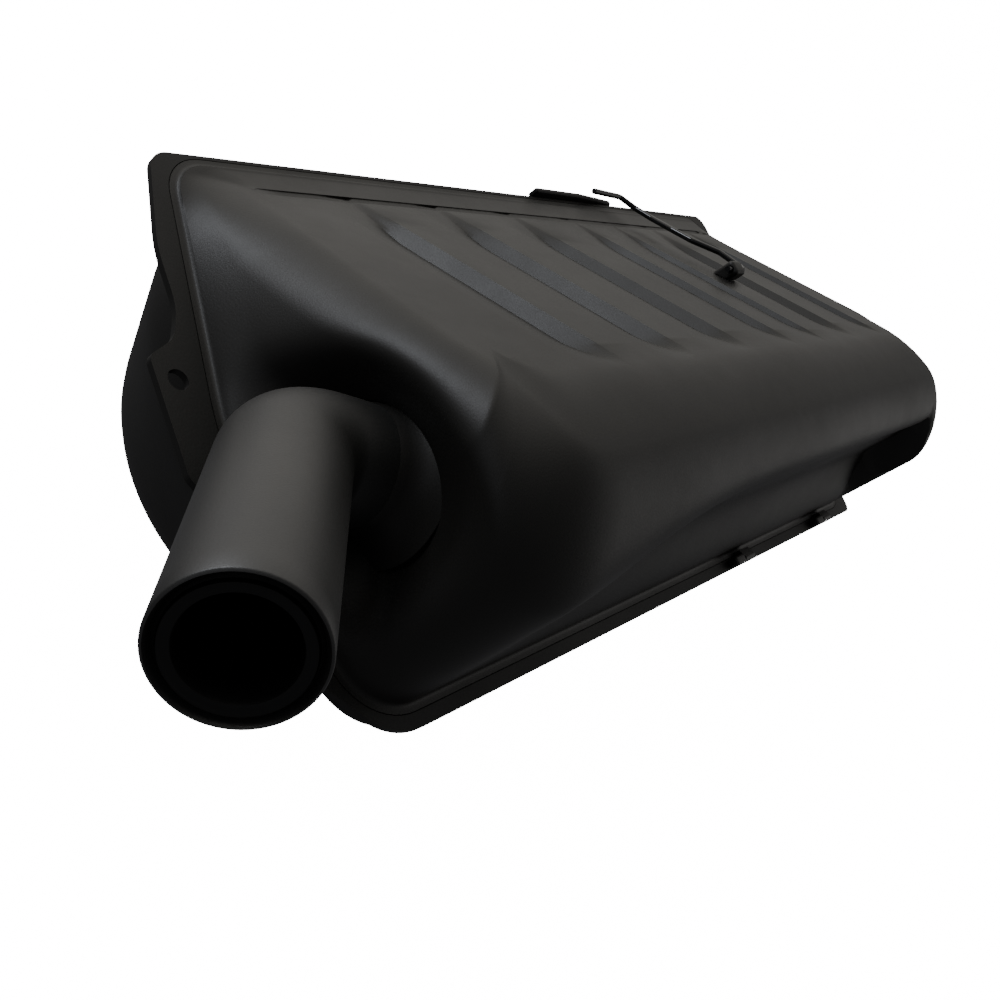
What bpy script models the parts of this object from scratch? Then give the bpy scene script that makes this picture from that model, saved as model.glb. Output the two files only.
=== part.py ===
"""Air filter housing: hinged ribbed cover with an elbow inlet, rear case, panel filter, wire latch.

Drawn in millimetres in a flange frame (x along the length, y from the hinge edge to the latch
edge, z out of the flange plane) and moved to the world frame by w(): the housing lies on its back.
"""
import math

import bmesh
import bpy
import numpy as np
from mathutils import Matrix, Vector

for old in list(bpy.data.objects):
    bpy.data.objects.remove(old, do_unlink=True)

# ---- driving dimensions, millimetres ----
CENTRE_X, CENTRE_Y, BASE_Z = 113.245, 104.8, -103.0   # world origin in the flange frame
GAP = 0.3                      # running gap between neighbouring pieces
WALL = 2.2                     # moulded wall of the cover
FLANGE_T = 2.5                 # flange plate of the rear case
SHELF_Z = -4.8                 # shelf that carries the filter rim
SLOPE_Y, SLOPE_Z = 191.6, 3.2  # a point on the ribbed slope
SLOPE_RATE = 0.66              # rise of the slope per mm towards the hinge edge
CREST_Z = 85.0                 # height of the crest above the flange
CREST_Y = 72.0                 # where the slope ends and the crest begins
GROOVES = (47, 99, 152, 203, 240, 286, 330)   # steep side of each groove
GROOVE_DEPTH = 5.5             # at mid-length
RAMP, STEEP = 20.0, 4.5        # width of a groove's gentle side and of its steep side
BAND_Y = 187.5                 # upper band, at groove level
TUBE_R, TUBE_WALL = 19.0, 3.0  # inlet tube
MOUTH = (-136.2, 31.9, 67.7)
ELBOW = (-60.9, 86.8, 26.3)
STUB = (-27.0, 74.3, 25.6)
BEND_R = 25.0
DRUM_X, DRUM_Y, DRUM_R = 45.0, 115.0, 100.0    # round rear end of the case
CASE_DEPTH = 88.0
OUTLET_X, OUTLET_Y = 38.0, 97.0
OUTLET_R = 33.0
HINGE_Y, HINGE_Z, PIN_R = 2.6, 3.0, 1.2
HINGE_X = (215.0, 325.0)
LATCH_Y, LATCH_Z = 136.5, 46.5                # pivot of the wire latch, axis along x
WIRE_R = 1.5
TAB_HOLE = (-64.6, 122.5)
TAB_HOLE_R = 3.5


def w(x, y, z):
    """Flange-frame millimetres to world metres."""
    return Vector(((x - CENTRE_X) / 1000, (y - CENTRE_Y) / 1000, (z - BASE_Z) / 1000))


def slope(y):
    return SLOPE_Z + (SLOPE_Y - y) * SLOPE_RATE


def material(name, colour, rough, metal=0.0):
    mat = bpy.data.materials.new(name)
    mat.use_nodes = True
    node = mat.node_tree.nodes["Principled BSDF"]
    node.inputs["Base Color"].default_value = (*colour, 1)
    node.inputs["Roughness"].default_value = rough
    node.inputs["Metallic"].default_value = metal
    return mat


BLACK = (0.022, 0.021, 0.020)


def finish(name, bm, colour=BLACK, rough=0.5, metal=0.0, smooth=35, origin=None, cutter=False):
    """Turn a bmesh drawn in world metres into a named object with its own material."""
    bmesh.ops.recalc_face_normals(bm, faces=bm.faces)
    me = bpy.data.meshes.new(name)
    if origin is not None:
        bmesh.ops.translate(bm, verts=bm.verts, vec=-origin)
    bm.to_mesh(me)
    bm.free()
    me.shade_smooth()
    me.set_sharp_from_angle(angle=math.radians(smooth))
    ob = bpy.data.objects.new(name, me)
    bpy.context.scene.collection.objects.link(ob)
    if origin is not None:
        ob.location = origin
    if cutter:
        ob.hide_render = True
        ob.display_type = "WIRE"
    else:
        me.materials.append(material(name, colour, rough, metal))
    return ob


def boolean(ob, tool, kind="DIFFERENCE"):
    mod = ob.modifiers.new(tool.name, "BOOLEAN")
    mod.operation = kind
    mod.object = tool
    mod.solver = "EXACT"
    tool.hide_render = True
    tool.display_type = "WIRE"


def outline(corners, seg=5, edges=None):
    """Closed outline of corners (x, y, radius); edges[k] lists how many points, or at which
    fractions, lie between corners k and k+1."""
    pts = []
    n = len(corners)
    for k, (x, y, r) in enumerate(corners):
        p = Vector((x, y))
        a = (Vector(corners[k - 1][:2]) - p).normalized()
        b = (Vector(corners[(k + 1) % n][:2]) - p).normalized()
        half = a.angle(b) / 2
        reach = r / math.tan(half)
        centre = p + (a + b).normalized() * (r / math.sin(half))
        start, end = p + a * reach - centre, p + b * reach - centre
        turn = start.angle(end)
        for i in range(seg + 1):
            f = i / seg
            q = (start * math.sin((1 - f) * turn) + end * math.sin(f * turn)) / math.sin(turn)
            pts.append((centre.x + q.x, centre.y + q.y))
        extra = edges[k] if edges else ()
        if isinstance(extra, int):
            extra = [(i + 1) / (extra + 1) for i in range(extra)]
        if extra:
            q0 = Vector(pts[-1])
            nx, ny, nr = corners[(k + 1) % n]
            q = Vector((nx, ny))
            c = Vector(corners[(k + 2) % n][:2])
            u, v = (p - q).normalized(), (c - q).normalized()
            q1 = q + u * (nr / math.tan(u.angle(v) / 2))
            pts += [tuple(q0.lerp(q1, f)) for f in extra]
    return pts


def inset(pts, d):
    """Move a closed outline inwards by d (outwards when negative)."""
    p = np.array(pts)
    t = np.roll(p, -1, 0) - np.roll(p, 1, 0)
    t /= np.linalg.norm(t, axis=1)[:, None]
    area = np.sum(p[:, 0] * np.roll(p[:, 1], -1) - np.roll(p[:, 0], -1) * p[:, 1])
    n = np.stack([-t[:, 1], t[:, 0]], 1) * (1 if area > 0 else -1)
    return [tuple(v) for v in p + n * d]


def loft(rings, cap_first=True, cap_last=True):
    """Skin closed rings of (x, y, z) points with the same count."""
    bm = bmesh.new()
    loops = []
    for ring in rings:
        verts = [bm.verts.new(w(*p)) for p in ring]
        loops.append(verts)
    for lo, hi in zip(loops, loops[1:]):
        for i in range(len(lo)):
            j = (i + 1) % len(lo)
            bm.faces.new((lo[i], lo[j], hi[j], hi[i]))
    if cap_first:
        bm.faces.new(loops[0])
    if cap_last:
        bm.faces.new(loops[-1])
    return bm, loops


def prism(pts, z0, z1):
    """Extrude a flat outline from z0 to z1."""
    bm = bmesh.new()
    face = bm.faces.new([bm.verts.new(w(x, y, z0)) for x, y in pts])
    out = bmesh.ops.extrude_face_region(bm, geom=[face])
    top = [v for v in out["geom"] if isinstance(v, bmesh.types.BMVert)]
    bmesh.ops.translate(bm, verts=top, vec=(0, 0, (z1 - z0) / 1000))
    return bm


def lathe(profile, centre, axis, steps=48):
    """Turn a (radius, height) profile around an axis through centre; closed unless it ends on it."""
    bm = bmesh.new()
    pts = [bm.verts.new((r / 1000, 0, h / 1000)) for r, h in profile]
    last = len(pts) - 1 if profile[0][0] == 0 else len(pts)
    ring = [bm.edges.new((pts[i], pts[(i + 1) % len(pts)])) for i in range(last)]
    bmesh.ops.spin(bm, geom=pts + ring, cent=(0, 0, 0), axis=(0, 0, 1), angle=2 * math.pi,
                   steps=steps, use_merge=True, use_duplicate=False)
    bmesh.ops.remove_doubles(bm, verts=bm.verts, dist=1e-6)
    turn = Vector((0, 0, 1)).rotation_difference(Vector(axis).normalized()).to_matrix().to_4x4()
    bmesh.ops.transform(bm, verts=bm.verts, matrix=Matrix.Translation(w(*centre)) @ turn)
    return bm


def box(x0, x1, y0, y1, z0, z1, bevel=0.0):
    bm = bmesh.new()
    bmesh.ops.create_cube(bm, size=1)
    lo, hi = w(x0, y0, z0), w(x1, y1, z1)
    size, mid = hi - lo, (hi + lo) / 2
    bmesh.ops.transform(bm, verts=bm.verts,
                        matrix=Matrix.Translation(mid) @ Matrix.Diagonal((*size, 1)))
    if bevel:
        bmesh.ops.bevel(bm, geom=bm.edges, offset=bevel / 1000, segments=2, profile=0.5,
                        affect="EDGES", material=-1)
    return bm


def bend_path(points, radius, seg=8):
    """Centre line through points with rounded bends: list of (position, direction)."""
    pts = [Vector(p) for p in points]
    out = [(pts[0], (pts[1] - pts[0]).normalized())]
    for a, b, c in zip(pts, pts[1:], pts[2:]):
        u, v = (b - a).normalized(), (c - b).normalized()
        turn = u.angle(v)
        if turn < 0.02:
            out.append((b, u))
            continue
        reach = radius * math.tan(turn / 2)
        side = (v - u * u.dot(v)).normalized()
        centre = b - u * reach + side * radius
        for i in range(seg + 1):
            f = turn * i / seg
            out.append((centre + radius * (u * math.sin(f) - side * math.cos(f)),
                        u * math.cos(f) + side * math.sin(f)))
    out.append((pts[-1], (pts[-1] - pts[-2]).normalized()))
    return out


def swept(path, radius, sides):
    """Rings of a round section carried along a path without twist."""
    rings = []
    side = None
    for pos, tan in path:
        if side is None:
            side = tan.orthogonal().normalized()
        side = (side - tan * side.dot(tan)).normalized()
        up = tan.cross(side)
        rings.append([tuple(pos + radius * (side * math.cos(2 * math.pi * i / sides)
                                            + up * math.sin(2 * math.pi * i / sides)))
                      for i in range(sides)])
    return rings


def pipe(path, r_out, r_in, sides=36):
    """Hollow tube with flat annular ends."""
    outer, inner = swept(path, r_out, sides), swept(path, r_in, sides)
    bm, _ = loft(outer + inner[::-1] + [outer[0]], False, False)
    bmesh.ops.remove_doubles(bm, verts=bm.verts, dist=1e-6)
    return bm


# ---- outlines in the flange plane ----
FLANGE = [(-38, 204.4, 10), (-51.5, 168, 60), (-54, 146, 30), (-60, 136, 8), (-71, 131, 4),
          (-75, 92, 5), (-68, 76, 20), (-66, 30, 20), (-42, 0, 26), (375.5, 0, 5),
          (375.5, 204.4, 8)]
BASE = [(-31, 199.5, 16), (-58, 95, 130), (-50, 8.6, 22), (366, 8.6, 14), (366, 199.5, 14)]
FRONT = (0.06, 0.12, 0.19, 0.27, 0.36, 0.45, 0.54, 0.63, 0.72, 0.81, 0.89, 0.95, 0.968, 0.982)
FILTER = [(-14, 195, 30), (-36, 95, 130), (-34, 13, 30), (361.5, 13, 14), (361.5, 195, 14)]
EDGES = (3, 3, FRONT, 5, 7)


def base_outline(grow=0.0):
    return inset(outline(BASE, 5, EDGES), -grow)


def chamber_outline(grow=0.0):
    """Outline of the filter chamber below the shelf, with the same point order as the base."""
    return inset(outline(FILTER, 5, EDGES), -grow)


def smoothstep(a, b, v):
    t = min(max((v - a) / (b - a), 0), 1)
    return t * t * (3 - 2 * t)


def cover_rings():
    """Rings of the cover's outside, from the lip inwards and up to the ribbed slope."""
    base = base_outline()
    edge = outline([(-17, 197.5, 14), (-38, 95, 110), (-37, 13, 26), (368, 12.5, 10),
                    (366, 197.5, 12)], 5, EDGES)
    cap = outline([(-6, 190, 5), (-15, 100, 60), (-8, CREST_Y, 5), (350, CREST_Y, 5),
                   (350, 190, 5)], 5, EDGES)
    rings = [[(x, y, 0.0) for x, y in base_outline(3.2)],
             [(x, y, 0.0) for x, y in base_outline(1.6)],
             [(x, y, 0.5) for x, y in base_outline(0.5)]]
    levels = [[] for _ in range(13)]
    for b, e, c in zip(base, edge, cap):
        ez = min(max(slope(e[1]), 1.6), CREST_Z)
        foot, knee, top = Vector((*b, 1.4)), Vector((*e, ez)), Vector((*c, slope(c[1])))
        wall = (foot - knee).length
        front = smoothstep(40, 15, e[1])
        take = min(wall * 0.6, 20 + 14 * front)
        reach = (0.75 - 0.1 * front) * (top - knee).length
        start = knee.lerp(foot, take / wall)
        end = knee.lerp(top, reach / (top - knee).length)
        weight = 0.62 - 0.15 * front
        column = [foot.lerp(start, f) for f in (0, 0.12, 0.3, 0.5, 0.75)]
        for f in (0, 0.17, 0.34, 0.5, 0.67, 0.84, 1):
            k = (1 - f) ** 2, 2 * weight * f * (1 - f), f * f
            column.append((start * k[0] + knee * k[1] + end * k[2]) / sum(k))
        column.append(top)
        for level, p in zip(levels, column):
            level.append(shaped(p))
    return rings + levels


def shaped(p):
    """Scoop along the front wall and the hollow around the inlet stub."""
    x, y, z = p
    if y < 45:
        along = smoothstep(0, 55, x) * (1 - smoothstep(348, 354, x))
        up = smoothstep(3, 38, z) * (1 - smoothstep(54, 82, z))
        y += 17 * along * up
    if x < -8 and z > 1:
        d = math.hypot(y - STUB[1], z - STUB[2])
        x += 7 * (1 - smoothstep(20, 42, d))
        for pos, _ in bend_path([MOUTH, ELBOW, STUB], BEND_R, 8)[:10]:
            near = (TUBE_R + 4) ** 2 - (y - pos.y) ** 2 - (z - pos.z) ** 2
            if near > 0:
                x = max(x, pos.x + math.sqrt(near))
    return x, y, z


def groove_depth(x, y):
    """How far the slope lies below pad level at a point: one sawtooth per groove."""
    if y >= BAND_Y:
        return max(0.0, slope(y) - 1.6 - (199 - y) * 0.25)
    run = smoothstep(CREST_Y + 1, 96, y) * (1 - 0.55 * smoothstep(150, 188, y))
    cut = 0.0
    for gx in GROOVES:
        foot = gx - STEEP
        if foot - RAMP < x <= foot:
            cut = (x - foot + RAMP) / RAMP
        elif foot < x < gx:
            cut = (gx - x) / STEEP
    return GROOVE_DEPTH * run * cut


def make_cover():
    rings = cover_rings()
    bm, loops = loft(rings, cap_first=False)
    cap = max((f for f in bm.faces), key=lambda f: f.calc_area())
    cuts = [("y", v) for v in (BAND_Y, BAND_Y - 1.5, 170, 150, 96, 86, 79)]
    for gx in GROOVES:
        cuts += [("x", gx - STEEP - RAMP), ("x", gx - STEEP), ("x", gx)]
    cap_plane = Vector((0, SLOPE_RATE, 1)).normalized()
    for axis, v in cuts:
        faces = [f for f in bm.faces if abs(f.normal.dot(cap_plane)) > 0.99999
                 and min(q.co.y for q in f.verts) > w(0, CREST_Y - 1, 0).y
                 and len(f.verts) != 4 or f is cap]
        flat = [f for f in bm.faces if all(abs(height_off(q.co)) < 2e-5 for q in f.verts)]
        geom = list({g for f in flat for g in (*f.verts, *f.edges, f)})
        normal = (1, 0, 0) if axis == "x" else (0, 1, 0)
        bmesh.ops.bisect_plane(bm, geom=geom, dist=1e-6, plane_co=w(v, v, 0), plane_no=normal)
    for v in bm.verts:
        x, y = v.co.x * 1000 + CENTRE_X, v.co.y * 1000 + CENTRE_Y
        if abs(height_off(v.co)) < 2e-5 and y > CREST_Y:
            v.co.z -= groove_depth(x, y) / 1000
    ob = finish("cover_shell", bm, BLACK, 0.46)
    solid = ob.modifiers.new("thickness", "SOLIDIFY")
    solid.thickness = WALL / 1000
    solid.offset = -1
    solid.use_even_offset = True
    axis = (Vector(STUB) - Vector(ELBOW)).normalized()
    hole = finish("cut_stub", lathe([(0, -22), (22.3, -22), (22.3, 22), (0, 22)],
                                    Vector(STUB) + axis * 2, axis, 40), cutter=True)
    boolean(ob, hole)
    return ob


def height_off(co):
    """Distance of a world point from the ribbed slope plane, in metres along z."""
    return co.z - w(0, 0, slope(co.y * 1000 + CENTRE_Y)).z


def drum_outline(d, grow_right=0.0):
    """Plan of the rear case: round left end, straight sides, inset by d."""
    r = DRUM_R - d
    y0, y1 = DRUM_Y - DRUM_R + d, 198.0 - d
    a = math.asin((y1 - DRUM_Y) / r)
    arc = [(DRUM_X - r * math.cos(t), DRUM_Y + r * math.sin(t))
           for t in np.linspace(a, -math.asin((DRUM_Y - y0) / r), 20)]
    right = 352 - d
    rr = 16
    c1 = [(right - rr + rr * math.sin(t), y0 + rr - rr * math.cos(t))
          for t in np.linspace(0, math.pi / 2, 6)]
    c2 = [(right - rr + rr * math.cos(t), y1 - rr + rr * math.sin(t))
          for t in np.linspace(0, math.pi / 2, 6)]
    return arc + c1 + c2


def make_case():
    plate = prism(outline(FLANGE, 5), -FLANGE_T, 0)
    ob = finish("rear_case", plate, BLACK, 0.5)
    rim = finish("add_rim", prism(base_outline(4.8), SHELF_Z - 2.5, -1.2), cutter=True)
    levels = [(-1.5, 3), (-9, 0), (-18, 0), (-28, 2), (-40, 6), (-64, 14), (-76, 18), (-84, 24),
              (-CASE_DEPTH, 32)]
    bowl, _ = loft([[(x, y, z) for x, y in drum_outline(d)] for z, d in levels])
    tub = finish("add_bowl", bowl, cutter=True)
    wall = finish("add_wall", prism(chamber_outline(3.2), -34, SHELF_Z - 1), cutter=True)
    for tool in (rim, wall, tub):
        boolean(ob, tool, "UNION")
    recess = finish("cut_recess", prism(base_outline(3.2 + GAP), SHELF_Z, 2), cutter=True)
    chamber = finish("cut_chamber", prism(chamber_outline(0.6), -31.6, 3), cutter=True)
    inner = [(-22, 4), (-28, 5), (-40, 9), (-64, 17), (-76, 21.5), (-85, 32)]
    hollow, _ = loft([[(x, y, z) for x, y in drum_outline(d)] for z, d in inner])
    low = finish("cut_hollow", hollow, cutter=True)
    out = finish("cut_outlet", lathe([(0, -8), (OUTLET_R, -8), (OUTLET_R, 8), (0, 8)],
                                     (OUTLET_X, OUTLET_Y, -CASE_DEPTH + 2), (0, 0, 1), 48), cutter=True)
    tab = finish("cut_tab_hole", lathe([(0, -6), (TAB_HOLE_R, -6), (TAB_HOLE_R, 6), (0, 6)],
                                       (*TAB_HOLE, -1), (0, 0, 1), 24), cutter=True)
    for tool in (recess, chamber, low, out, tab):
        boolean(ob, tool)
    return ob


def make_elbow():
    axis = (Vector(STUB) - Vector(ELBOW)).normalized()
    path = bend_path([MOUTH, ELBOW, Vector(STUB) + axis * 9], BEND_R, 10)
    finish("intake_elbow", pipe(path, TUBE_R, TUBE_R - TUBE_WALL, 36), BLACK, 0.5)
    start, along = path[0]
    finish("mouth_sleeve", pipe([(start + along * 0.6, along), (start + along * 15, along)],
                                TUBE_R - TUBE_WALL - GAP, 12.7, 36), (0.012, 0.012, 0.012), 0.7)
    seal = lathe([(TUBE_R + GAP, -7), (22.0, -7), (22.0, 7), (TUBE_R + GAP, 7)],
                 Vector(STUB) - axis * 1, axis, 40)
    finish("elbow_seal", seal, (0.018, 0.018, 0.018), 0.65)


def make_filter():
    body = chamber_outline()
    lip = base_outline(2.4)
    inside = chamber_outline(-12)
    rings = [[(x, y, -2.6) for x, y in lip], [(x, y, -4.5) for x, y in lip],
             [(x, y, -4.5) for x, y in body], [(x, y, -29) for x, y in body],
             [(x, y, -29) for x, y in inside], [(x, y, -2.6) for x, y in inside],
             [(x, y, -2.6) for x, y in lip]]
    bm, _ = loft(rings, False, False)
    bmesh.ops.remove_doubles(bm, verts=bm.verts, dist=1e-6)
    finish("filter_rim", bm, (0.05, 0.05, 0.055), 0.8)
    # zigzag paper block: one closed sheet, folded along x
    x0, x1, y0, y1, top, low = 4.0, 346.0, 30.0, 176.0, -6.0, -27.0
    count = 44
    xs = np.linspace(x0, x1, count + 1)
    upper = [(x, (top if i % 2 else low + 2.6)) for i, x in enumerate(xs)]
    lower = [(x, (top - 2.6 if i % 2 else low)) for i, x in enumerate(xs)]
    loop = upper + lower[::-1]
    bm = bmesh.new()
    face = bm.faces.new([bm.verts.new(w(x, y0, z)) for x, z in loop])
    out = bmesh.ops.extrude_face_region(bm, geom=[face])
    bmesh.ops.translate(bm, verts=[v for v in out["geom"] if isinstance(v, bmesh.types.BMVert)],
                        vec=(0, (y1 - y0) / 1000, 0))
    finish("filter_pleats", bm, (0.75, 0.70, 0.55), 0.9, smooth=20)
    grid = finish("filter_grid", box(-6, 338, 30, 178, -31.2, -29.3), (0.45, 0.45, 0.45), 0.4, 1.0)
    holes = bmesh.new()
    for i in range(8):
        for j in range(3):
            cx, cy = 15 + i * 43, 54 + j * 50
            made = bmesh.ops.create_cube(holes, size=1)
            move = Matrix.Translation(w(cx, cy, -30.2)) @ Matrix.Diagonal((0.037, 0.042, 0.01, 1))
            bmesh.ops.transform(holes, verts=made["verts"], matrix=move)
    boolean(grid, finish("cut_grid", holes, cutter=True))


def make_outlet():
    z = -CASE_DEPTH - GAP
    profile = [(OUTLET_R, 0), (48, 0), (48, -4), (39, -4), (38, -5), (38, -11.7), (OUTLET_R, -11.7)]
    finish("outlet_collar", lathe(profile, (OUTLET_X, OUTLET_Y, z), (0, 0, 1)), BLACK, 0.5)
    gasket = [(OUTLET_R, 0), (40, 0), (40, -2.7), (OUTLET_R, -2.7)]
    finish("outlet_gasket", lathe(gasket, (OUTLET_X, OUTLET_Y, -100.3), (0, 0, 1)),
           (0.02, 0.02, 0.02), 0.8)
    for i in range(4):
        a = math.radians(45 + 90 * i)
        at = (OUTLET_X + 43.5 * math.cos(a), OUTLET_Y + 43.5 * math.sin(a), -92.6)
        head = [(0, 0), (3.9, 0), (3.9, -1.6), (2.8, -2.8), (0, -2.8)]
        finish(f"collar_screw_{i + 1}", lathe(head, at, (0, 0, 1), 20), (0.6, 0.6, 0.6), 0.35, 1.0)
    for i, y in enumerate((62, 146)):
        foot = [(0, 0), (9, 0), (9, -12.7), (8, -14.7), (0, -14.7)]
        finish(f"rubber_foot_{i + 1}", lathe(foot, (298, y, z), (0, 0, 1), 24),
               (0.02, 0.02, 0.02), 0.85)
    valve = [(0, 0), (8, 0), (8, -3), (5, -5), (3.5, -10), (0, -10)]
    finish("drain_valve", lathe(valve, (225, 62, z), (0, 0, 1), 24), (0.02, 0.02, 0.02), 0.85)


def knuckle(name, x0, x1, y_far):
    """Hinge knuckle: round eye on the axis with a leg lying on the flange or lip."""
    eye, steps = 2.5, 16
    pts = [(HINGE_Y + eye * math.cos(a), HINGE_Z + eye * math.sin(a))
           for a in np.linspace(math.radians(-90), math.radians(-270), steps)]
    if y_far > HINGE_Y:
        pts += [(y_far, HINGE_Z + 0.4), (y_far, GAP), (HINGE_Y, GAP)]
        pts[steps - 1] = (HINGE_Y, HINGE_Z + eye)
        pts[0] = (HINGE_Y - 0.6, HINGE_Z - eye)
    bm = bmesh.new()
    face = bm.faces.new([bm.verts.new(w(x0, y, z)) for y, z in pts])
    out = bmesh.ops.extrude_face_region(bm, geom=[face])
    bmesh.ops.translate(bm, verts=[v for v in out["geom"] if isinstance(v, bmesh.types.BMVert)],
                        vec=((x1 - x0) / 1000, 0, 0))
    ob = finish(name, bm, BLACK, 0.5)
    bore = finish("cut_" + name, lathe([(0, x0 - 2), (PIN_R + GAP, x0 - 2),
                                        (PIN_R + GAP, x1 + 2), (0, x1 + 2)],
                                       (0, HINGE_Y, HINGE_Z), (1, 0, 0), 20), cutter=True)
    boolean(ob, bore)
    return ob


def make_hinges():
    for i, x in enumerate(HINGE_X):
        block = box(x - 15, x - 5.3, 0.2, 4.9, GAP, 5.4, 0.6)
        ob = finish(f"hinge_base_{i + 1}", block, BLACK, 0.5)
        bore = finish(f"cut_base_{i + 1}", lathe([(0, x - 18), (PIN_R + GAP, x - 18),
                                                  (PIN_R + GAP, x - 2), (0, x - 2)],
                                                 (0, HINGE_Y, HINGE_Z), (1, 0, 0), 20), cutter=True)
        boolean(ob, bore)
        knuckle(f"hinge_leaf_{i + 1}", x - 5, x + 5, 6.7)
        pin = [(0, x - 16), (PIN_R, x - 16), (PIN_R, x + 6), (0, x + 6)]
        finish(f"hinge_pin_{i + 1}", lathe(pin, (0, HINGE_Y, HINGE_Z), (1, 0, 0), 16),
               (0.4, 0.4, 0.4), 0.35, 1.0)


def make_latch():
    finish("latch_catch", box(186, 262, 204.8, 209.6, -FLANGE_T, 4.6, 0.8), BLACK, 0.5)
    saddle = box(252.5, 266.0, LATCH_Y - 5, LATCH_Y + 5, LATCH_Z - 7.4, LATCH_Z + 3.4, 0.8)
    lift = [v for v in saddle.verts if v.co.z < w(0, 0, LATCH_Z).z]
    for v in lift:
        v.co.z = w(0, 0, slope(v.co.y * 1000 + CENTRE_Y) + GAP + 0.2).z
    ob = finish("latch_saddle", saddle, BLACK, 0.5)
    bore = finish("cut_saddle", lathe([(0, 245), (WIRE_R + GAP, 245), (WIRE_R + GAP, 275),
                                       (0, 275)], (0, LATCH_Y, LATCH_Z), (1, 0, 0), 20),
                  cutter=True)
    boolean(ob, bore)
    route = [(250.5, LATCH_Y, LATCH_Z), (271, LATCH_Y, LATCH_Z), (270, 151, 39.5),
             (263, 163, 31.5), (263, 174, 24.5), (267, 187, 15.5), (268, 197, 9.5),
             (262, 205.5, 7.0), (236, 207, 7.0)]
    path = bend_path(route, 3.2, 4)
    bm, _ = loft(swept(path, WIRE_R, 12))
    finish("wire_latch", bm, (0.01, 0.01, 0.01), 0.25, 0.0, origin=w(0, LATCH_Y, LATCH_Z))


make_cover()
make_case()
make_elbow()
make_filter()
make_outlet()
make_hinges()
make_latch()
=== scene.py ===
"""Looks of the air filter housing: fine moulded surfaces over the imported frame.

Drawn in millimetres in the flange frame (x along the length, y from the hinge edge to the latch
edge, z out of the flange) and moved to the frame's metres by w().
"""
import math

import bmesh
import bpy
import numpy as np
from mathutils import Matrix, Vector


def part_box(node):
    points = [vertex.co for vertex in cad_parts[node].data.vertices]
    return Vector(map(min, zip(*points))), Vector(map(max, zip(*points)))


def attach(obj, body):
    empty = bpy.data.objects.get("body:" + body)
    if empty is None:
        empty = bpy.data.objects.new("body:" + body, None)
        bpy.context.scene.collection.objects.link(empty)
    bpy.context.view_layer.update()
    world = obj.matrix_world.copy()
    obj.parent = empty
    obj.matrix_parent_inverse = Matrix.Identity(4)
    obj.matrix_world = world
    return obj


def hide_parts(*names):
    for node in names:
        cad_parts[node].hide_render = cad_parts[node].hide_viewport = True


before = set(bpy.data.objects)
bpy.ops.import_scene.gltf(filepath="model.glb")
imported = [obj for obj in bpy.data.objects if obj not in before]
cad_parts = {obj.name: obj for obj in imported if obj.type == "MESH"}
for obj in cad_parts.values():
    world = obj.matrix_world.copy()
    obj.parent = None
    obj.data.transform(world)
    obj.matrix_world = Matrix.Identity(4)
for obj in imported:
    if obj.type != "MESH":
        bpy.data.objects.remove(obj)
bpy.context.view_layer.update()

CASE_LO, CASE_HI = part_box("rear_case")
FLANGE_END, FLANGE_TOP = 375.5, 0.0


def w(x, y, z):
    """Flange-frame millimetres to the frame's metres, measured from the rear case."""
    return Vector((CASE_HI[0] + (x - FLANGE_END) / 1000, CASE_LO[1] + y / 1000,
                   CASE_HI[2] + (z - FLANGE_TOP) / 1000))


def back(co):
    """The frame's metres to flange-frame millimetres."""
    return ((co.x - CASE_HI[0]) * 1000 + FLANGE_END, (co.y - CASE_LO[1]) * 1000,
            (co.z - CASE_HI[2]) * 1000 + FLANGE_TOP)


# ---- sizes, millimetres ----
GAP = 0.3
WALL = 2.2
SLOPE_Y, SLOPE_Z, SLOPE_RATE = 191.6, 3.2, 0.66
CREST_Z, CREST_Y = 85.0, 72.0
# each groove: x of its steep side's top, width of the steep side, depth at mid-length
GROOVES = ((47, 4.5, 5.8), (99, 4.4, 5.6), (152, 4.0, 4.8), (203, 2.4, 3.4), (240, 1.6, 2.6),
           (286, 3.2, 3.6), (330, 1.6, 2.6))
RAMP = 20.0
CREST_TOP = 79.0               # where the rounded crest runs out into the pads
BAND_Y = 187.5
SCOOP_DEPTH, SCOOP_BACK, CREASE_X = 17.0, 60.0, (348.5, 352.5)
BOWL_FLOOR, BOWL_Y, BOWL_Z, BOWL_CURVE, BOWL_BLEND = -26.5, 76.0, 27.0, 0.0105, 7.0
TUBE_R, TUBE_WALL = 19.0, 3.0
MOUTH, ELBOW, STUB = (-136.2, 31.9, 67.7), (-60.9, 86.8, 26.3), (-27.0, 74.3, 25.6)
STUB_AXIS = (Vector(STUB) - Vector(ELBOW)).normalized()
STUB_HOLE_R, BEND_R = 20.0, 25.0
DRUM_X, DRUM_Y, DRUM_R = 45.0, 115.0, 100.0
DRUM_RIGHT, DRUM_BACK, DRUM_CORNER = 352.0, 198.0, 16.0
OUTLET_X, OUTLET_Y = 38.0, 97.0
CASE_DEPTH, SHELF_Z, FLANGE_T = 88.0, -4.8, 2.5
OUTLET_R = 33.0
HINGE_Y, HINGE_Z, PIN_R = 2.6, 3.0, 1.2
HINGE_X = (215.0, 325.0)
LATCH_Y, LATCH_Z, WIRE_R = 136.5, 46.5, 1.5
TAB_HOLE, TAB_HOLE_R = (-64.6, 122.5), 3.5
RIM_LIP, RIM_WIDTH, RIM_TOP, RIM_SHELF, RIM_FOOT = 2.4, 12.0, -2.6, -4.5, -29.0
PLEAT_X, PLEAT_Y, PLEAT_LOW, PLEAT_TOP = (4.0, 346.0), (30.0, 176.0), -27.0, -6.0
PLEATS, PAPER = 44, 2.6
GRID_X, GRID_Y, GRID_Z, GRID_EDGE = (-6, 338), (30, 178), (-31.2, -29.3), 0.3
GRID_HOLES, HOLE_AT, HOLE_STEP, HOLE_HALF = (8, 3), (15, 54), (43, 50), (18.5, 21)
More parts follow.
